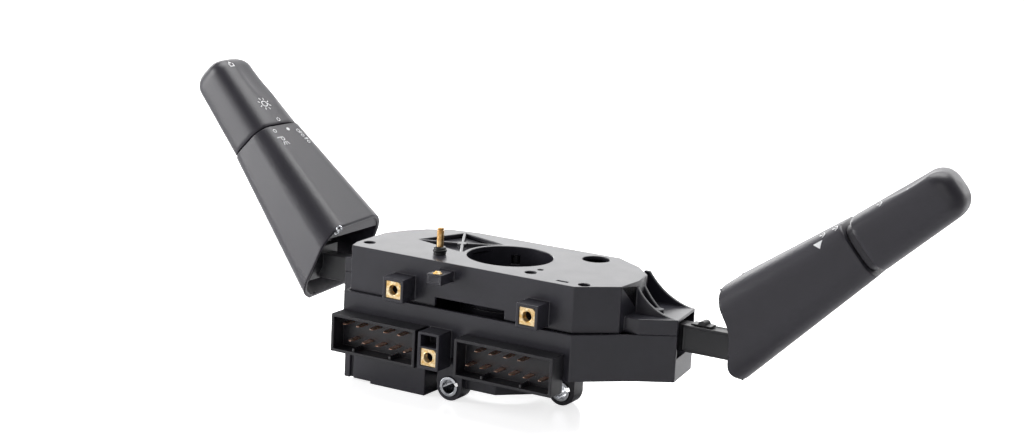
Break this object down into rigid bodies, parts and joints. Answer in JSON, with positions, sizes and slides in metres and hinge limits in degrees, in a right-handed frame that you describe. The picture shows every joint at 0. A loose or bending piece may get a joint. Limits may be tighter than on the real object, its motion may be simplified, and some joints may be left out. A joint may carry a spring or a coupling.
{
  "type": "combination stalk switch",
  "caption": "Steering-column combination switch: moulded housing with a column bore, two plug sockets, a horn contact pin and two tilting stalks with turning end knobs.",
  "frame": {"origin": "centre of the column bore in the top face", "axes": "+Z along the bore towards the steering wheel, +X towards the right-hand stalk, -Y the side with the plug sockets"},
  "size_m": [0.4466, 0.1008, 0.148],
  "materials": {
    "housing": "fine moulded grain, satin",
    "plug_plastic": "moulded",
    "stalk_plastic": "satin",
    "black_plastic": "moulded",
    "arm_plastic": "glass-filled, satin",
    "brass": "machined",
    "copper": "turned",
    "tinned_blade": "tin plated",
    "spring_steel": "drawn wire",
    "plated_steel": "bright plated",
    "steel_pin": "ground",
    "board": "laminate"
  },
  "bodies": {
    "housing": {"upper_housing": "housing", "lower_housing": "housing", "left_plug_socket": "plug_plastic", "right_plug_socket": "plug_plastic", "left_blades": "tinned_blade", "right_blades": "tinned_blade", "cowl_nuts": "brass", "lug_bushes": "plated_steel", "housing_screws": "steel_pin", "horn_guide": "black_plastic", "horn_terminal": "brass", "horn_spring": "spring_steel", "pawl_spring": "spring_steel", "left_pivot_pin": "steel_pin", "right_pivot_pin": "steel_pin", "left_detent_track": "black_plastic", "right_detent_track": "black_plastic", "left_contact_board": "board", "right_contact_board": "board"},
    "horn_button": {"horn_pin": "copper"},
    "pawl": {"cancel_pawl": "arm_plastic"},
    "left_carrier": {"left_carrier": "arm_plastic", "left_pitch_pin": "steel_pin", "left_detent_spring": "spring_steel"},
    "left_plunger": {"left_detent_plunger": "steel_pin"},
    "left_slider": {"left_slider": "black_plastic", "left_slider_contacts": "brass"},
    "left_lever": {"left_arm": "arm_plastic", "left_lever": "stalk_plastic", "left_end_cap": "stalk_plastic"},
    "left_knob": {"left_knob": "stalk_plastic", "left_knob_rod": "steel_pin"},
    "right_carrier": {"right_carrier": "arm_plastic", "right_pitch_pin": "steel_pin", "right_detent_spring": "spring_steel"},
    "right_plunger": {"right_detent_plunger": "steel_pin"},
    "right_slider": {"right_slider": "black_plastic", "right_slider_contacts": "brass"},
    "right_lever": {"right_arm": "arm_plastic", "right_lever": "stalk_plastic", "arm_clip": "black_plastic"},
    "right_knob": {"right_knob": "stalk_plastic", "right_knob_rod": "steel_pin"}
  },
  "joints": [
    {"name": "left_yaw", "type": "hinge", "parent": "housing", "child": "left_carrier", "pos_m": [-0.066, 0.0096, -0.025], "axis": [0, 0, 1], "range_deg": [-12, 12]},
    {"name": "left_pitch", "type": "hinge", "parent": "left_carrier", "child": "left_lever", "pos_m": [-0.088, 0.0096, -0.0252], "axis": [0, 1, 0], "range_deg": [-5, 5], "stiffness_Nm_per_rad": 15},
    {"name": "left_knob_turn", "type": "hinge", "parent": "left_lever", "child": "left_knob", "pos_m": [-0.1114, 0.0224, -0.0276], "axis": [-0.7191, 0.0617, 0.6921], "range_deg": [0, 45]},
    {"name": "left_detent", "type": "slide", "parent": "left_carrier", "child": "left_plunger", "axis": [-1, 0, 0], "range_m": [0, 0.0012], "stiffness_N_per_m": 1500, "deforming": ["left_detent_spring"]},
    {"name": "left_contact_slide", "type": "slide", "parent": "housing", "child": "left_slider", "axis": [1, 0, 0], "range_m": [-0.0035, 0.0035]},
    {"name": "right_yaw", "type": "hinge", "parent": "housing", "child": "right_carrier", "pos_m": [0.066, 0.0057, -0.025], "axis": [0, 0, 1], "range_deg": [-5, 18]},
    {"name": "right_pitch", "type": "hinge", "parent": "right_carrier", "child": "right_lever", "pos_m": [0.088, 0.0057, -0.0252], "axis": [0, -1, 0], "range_deg": [-5, 5], "stiffness_Nm_per_rad": 15},
    {"name": "right_knob_turn", "type": "hinge", "parent": "right_lever", "child": "right_knob", "pos_m": [0.1124, 0.0244, -0.0252], "axis": [0.7635, 0.0951, 0.6388], "range_deg": [0, 60]},
    {"name": "right_detent", "type": "slide", "parent": "right_carrier", "child": "right_plunger", "axis": [1, 0, 0], "range_m": [0, 0.0012], "stiffness_N_per_m": 1500, "deforming": ["right_detent_spring"]},
    {"name": "right_contact_slide", "type": "slide", "parent": "housing", "child": "right_slider", "axis": [1, 0, 0], "range_m": [-0.0015, 0.0051]},
    {"name": "horn_press", "type": "slide", "parent": "housing", "child": "horn_button", "axis": [0, 0, -1], "range_m": [0, 0.003], "stiffness_N_per_m": 400, "deforming": ["horn_spring"]},
    {"name": "pawl_slide", "type": "slide", "parent": "housing", "child": "pawl", "axis": [0.3746, -0.9272, 0], "range_m": [0, 0.003], "stiffness_N_per_m": 200, "deforming": ["pawl_spring"]}
  ],
  "couplings": [
    {"joint": "left_contact_slide", "follows": "left_yaw", "m_per_rad": 0.0159},
    {"joint": "right_contact_slide", "follows": "right_yaw", "m_per_rad": 0.0158}
  ]
}
